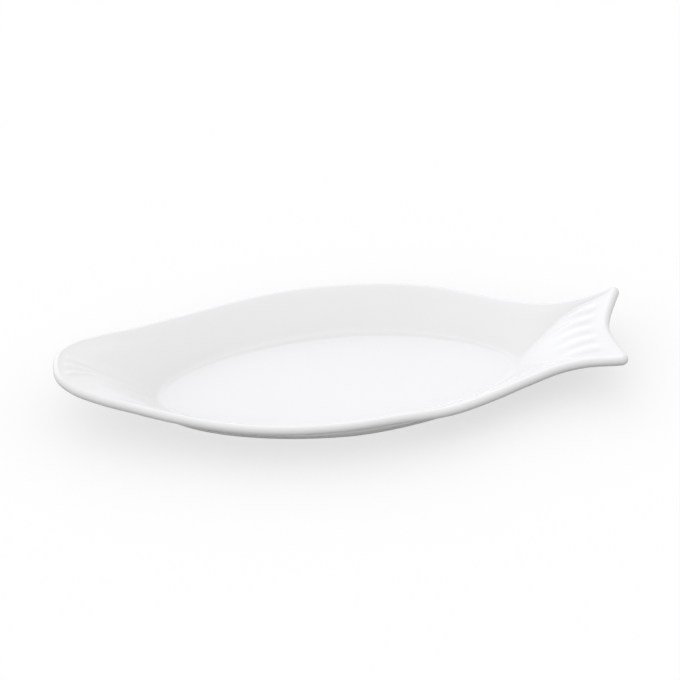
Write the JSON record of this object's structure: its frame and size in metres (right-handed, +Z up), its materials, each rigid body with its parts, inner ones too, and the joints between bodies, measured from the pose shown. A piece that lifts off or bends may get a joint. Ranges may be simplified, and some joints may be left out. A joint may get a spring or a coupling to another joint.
{
  "type": "fish shaped serving platter",
  "caption": "White glazed porcelain serving platter in a fish outline, with a round bead rim, a sunken oval well and a fluted nose and tail.",
  "frame": {"origin": "on the table, under the middle of the platter's box", "axes": "+X from the nose to the tail, +Z up, +Y across the belly"},
  "size_m": [0.4, 0.16, 0.0445],
  "materials": {
    "fired_clay": "fired porcelain under the glaze, not seen",
    "bare_foot": "unglazed, ground flat, matt and slightly rough",
    "white_glaze": "glossy plain white glaze"
  },
  "bodies": {
    "root": {"porcelain_body": "fired_clay", "foot_ring": "bare_foot", "glaze": "white_glaze"}
  },
  "joints": []
}
